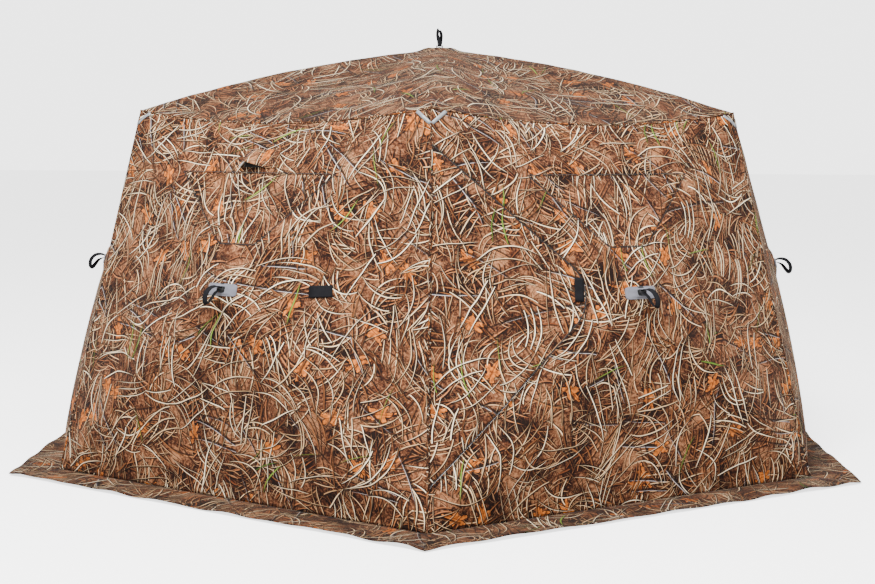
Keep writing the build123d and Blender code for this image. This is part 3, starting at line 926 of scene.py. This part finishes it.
door_flat = split_grid(door_line(0.005, 0.003), 61, 31)
door = lay("door_flap_cloth", DOOR_WALL, [door_flat], 0.0, [WALL_CLOTH, LINING], "door",
           shift=(0.9, 0.45))
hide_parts("door_flap")
zip_line = door_line(0.004, 0.0, 241)
ZIP_LIFT, TAB_LIFT, TAB_THICK = 0.0022, 0.005, 0.0025
lay("door_zip_on_door", DOOR_WALL, [strip(door_line(0.004, 0.0015, 241), 0.0, 0.004)], ZIP_LIFT,
    [ZIP_TAPE], "door")
lay("door_zip_on_wall", DOOR_WALL, [strip(zip_line, -0.010, 0.0)], ZIP_LIFT, [BINDING], None)


def rectangle(edge, middle, size, rows=5, columns=9):
    """Grid of a rectangle on one triangle of cloth; middle and size are (along the edge, up the cloth)."""
    u = middle[0] + size[0] * np.linspace(-0.5, 0.5, columns)[None, :]
    v = middle[1] + size[1] * np.linspace(-0.5, 0.5, rows)[:, None]
    return facet_place(edge, u, v)


lay("door_pull_tab", DOOR_WALL, [rectangle("left", (0.755, 0.662), (0.105, 0.042))], TAB_LIFT, [WEBBING],
    "door", thickness=TAB_THICK)
front_seam = facet_sizes("left")[0]
seam_flat = rectangle("left", (front_seam / 2, 0.005), (front_seam - 0.36, 0.008), 3, 81)
lay("door_seam_tape", DOOR_WALL, [seam_flat], 0.003, [BINDING], None)
zip_length = float(np.linalg.norm(np.diff(zip_line, axis=0), axis=1).sum())
print("door cloth", round(area_of(door), 3), "m2, zip", round(zip_length, 2), "m")

# %% [markdown]
# ## Windows
# Behind each window flap a black mesh stays sewn in, to look and shoot through. The flap is held
# shut round its edge; its tape shows as a thin dark line. The mesh is drawn as a close weave.

# %% Windows
MESH_LIFT, TAPE_LIFT, SCREEN_THICK = -0.0065, 0.002, 0.001


def build_window(wall):
    """Flap, mesh and the two tapes of one window; the tape on the wall rides no body."""
    name = WALLS[wall]
    flap_flat, mesh_flat = split_grid(window_line(0.003), 61, 25), split_grid(window_line(-MESH_LAP), 41, 21)
    flap = lay(name + "_window_flap_cloth", wall, [flap_flat], 0.0, [WALL_CLOTH, LINING],
               name + "_window_flap", shift=(1.3, 0.8))
    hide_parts(name + "_window_flap")
    mesh = lay(name + "_window_mesh", wall, [mesh_flat], MESH_LIFT, [SCREEN],
               name + "_window_panel", thickness=SCREEN_THICK)
    wall_tape = strip(window_line(0.0, 321), 0.0, 0.005, True)
    lay(name + "_window_tape", wall, [wall_tape], TAPE_LIFT, [BINDING], None)
    flap_tape = strip(window_line(0.001, 321), -0.003, 0.0, True)
    inner = lay(name + "_window_flap_tape", wall, [flap_tape], TAPE_LIFT, [ZIP_TAPE],
                name + "_window_flap")
    return flap, mesh, inner


WINDOWS = {wall: build_window(wall) for wall in WINDOW_WALLS}
print("window flap", round(area_of(WINDOWS[0][0]), 3), "m2")

# %% [markdown]
# ## Roof
# The roof is a low six-sided pyramid over its own hub, sewn to the walls along the sagging eaves. It
# is made like a wall, with rays from the eave to the peak.

# %% Roof
PEAK_Z = EAVE_Z + RISE
ROOF_BOW, ROOF_SLACK = 0.044, 0.010  # out along the poles, in between them
ROOF_RING_LIFT, ROOF_RING_R, ROOF_RING_WIDTH = 0.0155, 0.074, 0.042
LONG_RIPPLE, SHORT_RIPPLE = 0.0026, 0.0016


def roof_grid(side, rows=65, columns=EDGE_COLUMNS):
    """Points = straight rays from eave to peak, lowered near the eave by its sag and lifted along the
    bowed poles; also the flat map and the share of the hub's travel."""
    across = np.linspace(0, 1, columns)
    start, end = ring_point(side, EAVE_R, EAVE_Z), ring_point(side + 1, EAVE_R, EAVE_Z)
    rim = start + (end - start) * across[:, None]
    eave = wall_skin((across - 0.5) * EAVE_R, np.full(columns, WALL_H), side)[0]
    flat_rim = rim * np.array([1, 1, 0])
    hole = flat_rim / np.linalg.norm(flat_rim, axis=1, keepdims=True) * HUB_HOLE
    share_top = 1 - HUB_HOLE / np.linalg.norm(flat_rim, axis=1)
    hole[:, 2] = EAVE_Z + RISE * share_top
    t = np.linspace(0, 1, rows)[:, None, None]
    base = rim * (1 - t) + hole * t
    share = (base[..., 2] - EAVE_Z) / RISE
    up, far = t[..., 0], np.linalg.norm(base[..., :2], axis=-1)
    sag = (eave - rim) * np.clip(1 - t / SAG_FADE, 0, 1) ** 2
    from_ridge = np.minimum(across, 1 - across)[None, :] * EAVE_R * (1 - up)
    inner = smooth(up / 0.1)
    lift = ROOF_BOW * 4 * up * (1 - up) * np.exp(-((from_ridge / BOW_WIDTH) ** 2))
    lift = lift - ROOF_SLACK * np.sin(np.pi * across)[None, :] * np.sin(np.pi * up)
    lift = lift + ROOF_RING_LIFT * np.exp(-(((far - ROOF_RING_R) / ROOF_RING_WIDTH) ** 2))
    x, y = base[..., 0], base[..., 1]
    ripple = LONG_RIPPLE * waves(x, y, 300, 0.5) + SHORT_RIPPLE * waves(x, y, 301, 0.16)
    lift = lift + ripple * inner * smooth((far - 0.10) / 0.1)
    points = base + sag
    points[..., 2] += lift
    return points, base[..., :2].copy(), share


roof_parts = [roof_grid(side) for side in range(SIDES)]
roof_points, roof_maps, roof_shares = zip(*roof_parts)
roof = mesh_piece("roof_cloth", roof_points, (0, 0, 1), [flat + 20.0 for flat in roof_maps], roof_shares)
finish_cloth(roof, [SHADED_ROOF_CLOTH, LINING])
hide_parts("roof_canopy")
follow_hub(roof, "roof_hub", (0, 0, EAVE_Z), (0, 0, PEAK_Z))
roof_peak = max(float(points[..., 2].max()) for points in roof_points)
print("roof", round(area_of(roof), 2), "m2, peak", round(roof_peak, 3), "m")

# %% [markdown]
# ## Ground flap
# A flap of the same cloth lies on the ground all round, to be weighted against wind and light. It is
# loose, so it ripples, and its outer edge is turned over into a hem.

# %% Ground flap
SKIRT_RIPPLE, SKIRT_HEM, SKIRT_WANDER = 0.016, 0.0025, 0.010
SKIRT_Z = 0.0055  # top of the flap where it lies flat


def skirt_grid(side, rows=15, columns=97):
    """Points = from the foot of the wall out over the ground; height is a sum of waves, kept above
    the ground, that runs out to the hem."""
    start, end = ring_point(side, BASE_R, 0.0), ring_point(side + 1, BASE_R, 0.0)
    outer = BASE_R + SKIRT_REACH / FLAT
    start_out, end_out = ring_point(side, outer, 0.0), ring_point(side + 1, outer, 0.0)
    across = np.linspace(0, 1, columns)[None, :, None]
    t = np.r_[np.linspace(0, 0.86, rows - 4), 0.9, 0.93, 0.97, 1.0][:, None, None]
    points = (start + (end - start) * across) * (1 - t) + (start_out + (end_out - start_out) * across) * t
    x, y = points[..., 0], points[..., 1]
    ripple = 0.5 + 0.5 * waves(x, y, 500, 0.26)
    mitre = smooth(np.minimum(across, 1 - across)[..., 0] * 2.2 / 0.08)
    lift = SKIRT_RIPPLE * ripple * smooth(t[..., 0] / 0.5) * (0.4 + 0.6 * mitre)
    lift = lift + SKIRT_HEM * smooth((t[..., 0] - 0.88) / 0.03)
    points[..., 2] = SKIRT_Z + np.clip(lift, 0, 0.03)
    outward = wall_axes(side)[0] / np.linalg.norm(wall_axes(side)[0])
    wander = SKIRT_WANDER * waves(x, y, 510, 0.5) * t[..., 0] * mitre
    points -= np.abs(wander)[..., None] * outward
    return points, points[..., :2].copy()


SKIRTS = []
for side in range(SIDES):
    points, flat = skirt_grid(side)
    turn = math.radians(-360 / SIDES * (side + 0.5))
    spin = np.array([[math.cos(turn), math.sin(turn)], [-math.sin(turn), math.cos(turn)]])
    piece = mesh_piece("ground_flap_" + WALLS[side], [points], (0, 0, 1), [flat @ spin + 40.0 + 3 * side])
    finish_cloth(piece, [SHADED_SKIRT_CLOTH, LINING], 0.004)
    SKIRTS.append(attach(piece, "shell"))
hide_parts("ground_skirt")
print("ground flap", round(sum(area_of(piece) for piece in SKIRTS), 2), "m2")

# %% [markdown]
# ## Seams
# The walls are bound together down the corners and to the roof along the eaves, each seam with a
# rolled strip of the print. At every eave corner a grey tape is sewn across in a V, to spread
# the pull of the poles that end in the pocket behind it.

# %% Seams and corner tapes
def tube(path, radius, around=10):
    """Points = path + radius * (cos a * side + sin a * over), with side and over square to the path."""
    path = np.asarray(path, float)
    tangent = np.gradient(path, axis=0)
    tangent /= np.linalg.norm(tangent, axis=1, keepdims=True)
    guide = np.array([0.0, 0.0, 1.0]) if abs(tangent[:, 2]).mean() < 0.7 else np.array([1.0, 0.0, 0.0])
    side = np.cross(tangent, guide)
    side /= np.linalg.norm(side, axis=1, keepdims=True)
    over = np.cross(side, tangent)
    angle = np.linspace(0, 2 * np.pi, around + 1)[None, :, None]
    return path[:, None] + radius * (np.cos(angle) * side[:, None] + np.sin(angle) * over[:, None])


def tube_maps(grid, start):
    """Map in metres: round the tube, and along it."""
    along = np.r_[0, np.cumsum(np.linalg.norm(np.diff(grid.mean(axis=1), axis=0), axis=1))]
    across = np.linspace(0, 0.03, grid.shape[1])
    return np.stack(np.broadcast_arrays(across[None, :] + start, along[:, None]), axis=-1)


PIPING_R = 0.0042
seams = []
for side in range(SIDES):
    low, high = ring_point(side, BASE_R - 0.001, 0.008), ring_point(side, EAVE_R - 0.001, EAVE_Z - 0.004)
    seams.append(tube(low + (high - low) * np.linspace(0, 1, 40)[:, None], PIPING_R))
    across = np.linspace(-0.5, 0.5, EDGE_COLUMNS) * EAVE_R
    seams.append(tube(wall_skin(across, np.full(EDGE_COLUMNS, WALL_H), side)[0], PIPING_R))
piping = mesh_piece("bound_seams", seams, None, [tube_maps(g, 60.0 + 0.3 * i) for i, g in enumerate(seams)])
piping.data.materials.append(PIPING)
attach(piping, "shell")

V_REACH, V_WIDTH = 0.068, 0.015
PATCH_LIFT, PATCH_THICK = 0.0035, 0.0015
for wall in range(SIDES):
    flats = []
    for side in (-1, 1):
        corner = np.array([side * EAVE_R / 2, WALL_H])
        foot = np.array([side * BASE_R / 2, 0.0])
        down = (foot - corner) / np.linalg.norm(foot - corner)
        first = corner + V_REACH * np.array([-side, 0.0]) + np.array([0.0, -0.004])
        last = corner + V_REACH * down + np.array([-side * 0.003, 0.0])
        line = first + (last - first) * np.linspace(0, 1, 9)[:, None]
        flats.append(strip(line, -V_WIDTH / 2, V_WIDTH / 2))
    lay(WALLS[wall] + "_corner_tapes", wall, flats, PATCH_LIFT, [REFLECTOR], None,
        thickness=PATCH_THICK)
print("seams", len(seams), "lines, corner tapes", V_WIDTH * 1000, "mm wide")

# %% [markdown]
# ## Hub patches, tabs and pull straps
# A grey patch of plain cloth is sewn over each wall hub, slit in the middle. The pull strap
# comes out of the slit: a doubled loop of black webbing, pinned to the hub. Pulling it outwards pops
# the hub out, and pushing the hub in folds the wall.

# %% Patches and straps
PATCH_RISE = 0.007  # at the slit, where the strap lifts it
PATCH_SHIFT = np.array([0.0, -0.006])


def patch_grid(half_wide, half_high, hole_wide, hole_high, rows=9, count=73):
    """From the edge of the slit out to the edge of the patch along rays; an edge is
    |x / wide| ** 8 + |y / high| ** 8 = 1. Also the rise of each point towards the slit."""
    angle = np.linspace(0, 2 * np.pi, count)
    direction = np.stack([np.cos(angle), np.sin(angle)], axis=1)

    def squarish(wide, high):
        size = np.array([wide, high])
        return direction / (np.abs(direction / size) ** 8).sum(axis=1, keepdims=True) ** (1 / 8)

    inner, outer = squarish(hole_wide, hole_high), squarish(half_wide, half_high)
    t = np.linspace(0, 1, rows)[:, None]
    rise = np.repeat(PATCH_RISE * (1 - smooth(t * 1.2)), count, 1)
    return HUB + PATCH_SHIFT + ruled(inner, outer, rows), rise


for wall in range(SIDES):
    flat, rise = patch_grid(0.082, 0.028, 0.023, 0.014)
    lay(WALLS[wall] + "_hub_patch", wall, [flat], PATCH_LIFT, [PATCH], None,
        thickness=PATCH_THICK, rise=[rise])
tab_flat = rectangle("right", (1.021, 0.485), (0.052, 0.108))
lay("front_left_wall_tab", VENT_WALL, [tab_flat], TAB_LIFT, [WEBBING], None, thickness=TAB_THICK)


def spline(points, count):
    """Smooth curve through points, each span a cubic with the neighbours' slopes."""
    points = np.asarray(points, float)
    slope = np.gradient(points, axis=0)
    place = np.linspace(0, len(points) - 1, count)
    span = np.minimum(place.astype(int), len(points) - 2)
    t = (place - span)[:, None]
    a, b, ma, mb = points[span], points[span + 1], slope[span], slope[span + 1]
    leave = (2 * t**3 - 3 * t**2 + 1) * a + (t**3 - 2 * t**2 + t) * ma
    return leave + (3 * t**2 - 2 * t**3) * b + (t**3 - t**2) * mb


def strap_grid(origin, right, up, out, points, twist):
    """Ribbon along a curve given as (sideways, up, out) in metres; its width turns by twist radians
    from one end to the other."""
    curve = spline(points, 61)
    path = origin + curve @ np.array([right, up, out])
    tangent = np.gradient(path, axis=0)
    tangent /= np.linalg.norm(tangent, axis=1, keepdims=True)
    over = np.cross(tangent, right)
    over /= np.linalg.norm(over, axis=1, keepdims=True)
    side = np.cross(over, tangent)
    turn = (twist * np.sin(np.linspace(0, np.pi, len(path))))[:, None]
    wide = np.cos(turn) * side + np.sin(turn) * over
    return path[None] + STRAP_HALF * np.linspace(-1, 1, 5)[:, None, None] * wide[None]


STRAP_HALF = 0.0105
EYE_OUT = 0.015  # eye of the strap, out from the hub
WALL_LOOP = [(0.0, 0.002, 0.0), (0.003, 0.004, 0.030), (0.008, -0.010, 0.062), (0.012, -0.040, 0.080),
             (0.012, -0.068, 0.078), (0.010, -0.078, 0.066), (0.004, -0.058, 0.052), (0.0, -0.026, 0.034),
             (0.0, -0.006, 0.004)]
ROOF_LOOP = [(0.0, 0.0, 0.0), (0.006, 0.008, 0.028), (0.010, -0.004, 0.058), (0.002, -0.010, 0.082),
             (-0.008, -0.004, 0.084), (-0.011, 0.008, 0.060), (-0.004, 0.002, 0.030), (0.0, -0.003, 0.002)]


def build_strap(name, origin, axes, points, twist):
    """One loop of webbing, which stands for the CAD model's strap and rides the strap's body."""
    grid = strap_grid(origin, *axes, points, twist)
    along = np.linspace(0, 0.2, grid.shape[1])[None, :]
    maps = np.stack(np.broadcast_arrays(np.linspace(0, 0.025, 5)[:, None], along), axis=-1)
    piece = mesh_piece(name + "_strap_loop", [grid], None, [maps])
    finish_cloth(piece, [WEBBING], 0.0022)
    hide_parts(name + "_pull_strap")
    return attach(piece, name + "_strap")


STRAPS = []
for wall, name in enumerate(WALLS):
    eye = on_wall(wall, 0.0, HUB_UP, POP + EYE_OUT)
    lean = 1.0 if wall in (0, 1, 2) else -1.0
    loop = [(lean * x, y, z) for x, y, z in WALL_LOOP]
    twist = lean * (1.3 if wall in (1, 4) else 0.5)  # the left and right walls' straps twist further
    STRAPS.append(build_strap(name, eye, wall_axes(wall)[1:], loop, twist))
STRAPS.append(build_strap("roof", np.array([0.0, 0.0, PEAK_Z + EYE_OUT]), np.eye(3), ROOF_LOOP, 1.0))
print(len(STRAPS), "pull straps")

# %% [markdown]
# ## Vent
# High in the front left wall a small hood stands off a mesh opening, to let warm air out. Its edge is
# propped up to one side by a pale plastic strip, so that the opening is a low triangle.

# %% Vent
VENT_DROP, VENT_WIDE, VENT_DEEP, VENT_STAND = 0.205, 0.190, 0.092, 0.044


def facet_axes(wall, edge):
    """Start of an edge, then unit vectors along it, up its cloth and out of the blind, when popped."""
    start, end = (CORNERS[c] for c in EDGES[edge])
    start, end = on_wall(wall, *start, 0.0), on_wall(wall, *end, 0.0)
    hub = on_wall(wall, *HUB, POP)
    along = (end - start) / np.linalg.norm(end - start)
    out = np.cross(along, hub - start)
    out /= np.linalg.norm(out)
    return start, along, np.cross(out, along), out


origin, along, down, out = facet_axes(VENT_WALL, "top")
middle = origin + along * facet_sizes("top")[0] / 2 + down * VENT_DROP
s, t = np.meshgrid(np.linspace(-1, 1, 41), np.linspace(0, 1, 11))
wide = (VENT_WIDE / 2 + 0.014 * t) * s
dip = VENT_DEEP * t
peak = np.clip(np.minimum((s + 0.45) / 0.90, (1.0 - s) / 0.55), 0, 1) ** 0.9  # prop at s = 0.45
height = 0.004 + VENT_STAND * peak * t
fall = np.sqrt(dip**2 - (VENT_STAND * peak * t) ** 2)
hood_points = middle + wide[..., None] * along + fall[..., None] * down + height[..., None] * out
hood = mesh_piece("vent_hood_cloth", [hood_points], out, [np.stack([wide, -dip], axis=-1) + 70.0], [peak])
finish_cloth(hood, [WALL_CLOTH, LINING], 0.0025)
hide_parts("vent_hood")
hood_ends = tuple(middle), tuple(middle + 0.05 * out)
follow_hub(hood, "vent_hood", *hood_ends, root="front_left_window_panel")
vent_flat = rectangle("top", (facet_sizes("top")[0] / 2, VENT_DROP + 0.052), (0.176, 0.074), 9, 17)
lay("vent_mesh", VENT_WALL, [vent_flat], 0.0025, [SCREEN], None, thickness=SCREEN_THICK)
PLASTIC, tree, shader = new_material("pale_stiffener", roughness=0.45, specular=0.4)
mottle = noise(tree, own_place(tree), 60.0, 3.0)["Fac"]
pale = ramp(tree, mottle, (0.3, (0.62, 0.60, 0.56)), (0.7, (0.80, 0.79, 0.75)))
wire(tree, shader, "Base Color", pale)
edge = slice(30, 41)
stiff = tube(hood_points[-1, edge] + 0.002 * out, 0.0032, 8)
stiff_share = np.repeat(peak[-1, edge][:, None], stiff.shape[1], axis=1)
stiffener = mesh_piece("vent_stiffener", [stiff], None, [tube_maps(stiff, 0.0)], [stiff_share])
stiffener.data.materials.append(PLASTIC)
follow_hub(stiffener, "vent_hood", *hood_ends, root="front_left_window_panel")
print("vent hood stands", round(float(height.max()) * 1000), "mm off the wall")

# %% [markdown]
# ## Poles and hubs
# The rods are pultruded glass fibre, near black with a faint lengthwise streak, with a bright sleeve
# where they meet the hub. The hubs are moulded black nylon, slightly grained. Their shapes come
# straight from the CAD model, so only the finish is made here.

# %% Finish of the frame
SLEEVE_END = 0.118  # distance from the hub at which the metal sleeve stops
CENTRE_IN = 0.022  # point the sleeve is measured from, in from the cloth


def pole_material(name, hub):
    """Fibre rod, changing to bare metal within the sleeve's length of the hub."""
    material, tree, shader = new_material(name, roughness=0.38, specular=0.45)
    place = own_place(tree)
    away = vector_calc(tree, "DISTANCE", place, hub)
    metal = calc(tree, "MULTIPLY", calc(tree, "SUBTRACT", SLEEVE_END, away), 400.0, clamp=True)
    streak = noise(tree, place, 90.0, 4.0, 0.7)["Fac"]
    rod = ramp(tree, streak, (0.35, (0.010, 0.010, 0.011)), (0.7, (0.045, 0.044, 0.043)))
    steel = ramp(tree, streak, (0.3, (0.42, 0.42, 0.43)), (0.7, (0.58, 0.58, 0.58)))
    tree.links.new(blend_colour(tree, metal, rod, steel), shader.inputs["Base Color"])
    tree.links.new(metal, shader.inputs["Metallic"])
    raise_surface(tree, shader, streak, 0.25, 0.0005)
    return material


NYLON, tree, shader = new_material("moulded_nylon", roughness=0.5, specular=0.4)
grain = noise(tree, own_place(tree), 420.0)["Fac"]
blacks = ramp(tree, grain, (0.3, (0.012, 0.012, 0.013)), (0.75, (0.034, 0.034, 0.036)))
wire(tree, shader, "Base Color", blacks)
raise_surface(tree, shader, grain, 0.3, 0.0004)


def paint(node_name, material):
    """Gives a CAD node its finish in every material slot."""
    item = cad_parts[node_name]
    if not item.material_slots:
        item.data.materials.append(material)
    for place in item.material_slots:
        place.material = material


for wall, name in enumerate(WALLS):
    rod = pole_material(name + "_pole_finish", tuple(on_wall(wall, 0.0, HUB_UP, POP - CENTRE_IN)))
    for corner in CORNERS:
        paint(f"{name}_pole_{corner}", rod)
    paint(name + "_hub", NYLON)
rod = pole_material("roof_pole_finish", (0, 0, PEAK_Z - CENTRE_IN))
for corner in ("front", "front_right", "back_right", "back", "back_left", "front_left"):
    paint("roof_pole_" + corner, rod)
paint("roof_hub", NYLON)
print("poles and hubs painted")

# %% [markdown]


# %% [markdown]
# ## Floor, light and camera
# A pale floor, a wide soft light from above in front and pale surroundings, as in a studio. The camera
# stands at eye height in front, a little to the right of the front corner.

# %% Floor
def flat_panel(name, half):
    """Square panel facing up, centred on the origin."""
    mesh = bpy.data.meshes.new(name)
    corners = [(-half, -half, 0), (half, -half, 0), (half, half, 0), (-half, half, 0)]
    mesh.from_pydata(corners, [], [(0, 1, 2, 3)])
    panel = bpy.data.objects.new(name, mesh)
    bpy.context.collection.objects.link(panel)
    return panel


floor = flat_panel("floor", 60.0)
PAPER, tree, shader = new_material("pale_floor", roughness=0.9, specular=0.1)
shade = noise(tree, own_place(tree), 0.6)["Fac"]
paper = ramp(tree, shade, (0.2, (0.91, 0.91, 0.91)), (0.8, (0.94, 0.94, 0.94)))
seen = node(tree, "ShaderNodeLightPath").outputs["Is Camera Ray"]
tree.links.new(blend_colour(tree, seen, (0.38, 0.36, 0.34, 1), paper), shader.inputs["Base Color"])
shader.inputs["Emission Color"].default_value = (1.0, 1.0, 1.0, 1)
tree.links.new(calc(tree, "MULTIPLY", seen, 2.0), shader.inputs["Emission Strength"])
floor.data.materials.append(PAPER)

# %% Light
world = bpy.data.worlds.new("studio")
world.use_nodes = True
sky = world.node_tree.nodes["Background"]
sky.inputs["Color"].default_value = (1.0, 1.0, 1.0, 1)
looked_at = node(world.node_tree, "ShaderNodeLightPath").outputs["Is Camera Ray"]
wire(world.node_tree, sky, "Strength", calc(world.node_tree, "MULTIPLY_ADD", looked_at, 2.4, 1.1))
bpy.context.scene.world = world


def soft_light(name, place, aim, size, power):
    """Square area light turned towards a point."""
    data = bpy.data.lights.new(name, "AREA")
    data.shape = "SQUARE"
    data.size = size
    data.energy = power
    light = bpy.data.objects.new(name, data)
    bpy.context.collection.objects.link(light)
    back = np.array(place, float) - np.array(aim, float)
    back /= np.linalg.norm(back)
    side = np.cross((0, 0, 1), back)
    side /= np.linalg.norm(side)
    axes = np.stack([side, np.cross(back, side), back], axis=1)
    light.matrix_world = Matrix.Translation(place) @ Matrix(axes.tolist()).to_4x4()
    return light


lights = [soft_light("key", (-1.8, -6.2, 9.0), (0, -0.5, 0.8), 4.0, 3000),
          soft_light("fill", (5.0, -6.5, 4.0), (0, 0, 0.8), 4.0, 250)]

# %% Camera
EYE = np.array([0.1545, -7.6168, 1.6125])
YAW, PITCH, ROLL, LENS = 0.0209, -0.1101, 0.005, 56.88
forward = np.array([-math.sin(YAW) * math.cos(PITCH), math.cos(YAW) * math.cos(PITCH), math.sin(PITCH)])
level = np.array([math.cos(YAW), math.sin(YAW), 0.0])
over = np.cross(level, forward)
side = level * math.cos(ROLL) + over * math.sin(ROLL)
top = over * math.cos(ROLL) - level * math.sin(ROLL)
camera_data = bpy.data.cameras.new("camera")
camera_data.sensor_width, camera_data.lens = 36.0, LENS
camera_data.clip_end = 200.0
camera = bpy.data.objects.new("camera", camera_data)
bpy.context.collection.objects.link(camera)
turned = Matrix(np.stack([side, top, -forward], axis=1).tolist()).to_4x4()
camera.matrix_world = Matrix.Translation(EYE) @ turned
bpy.context.scene.camera = camera
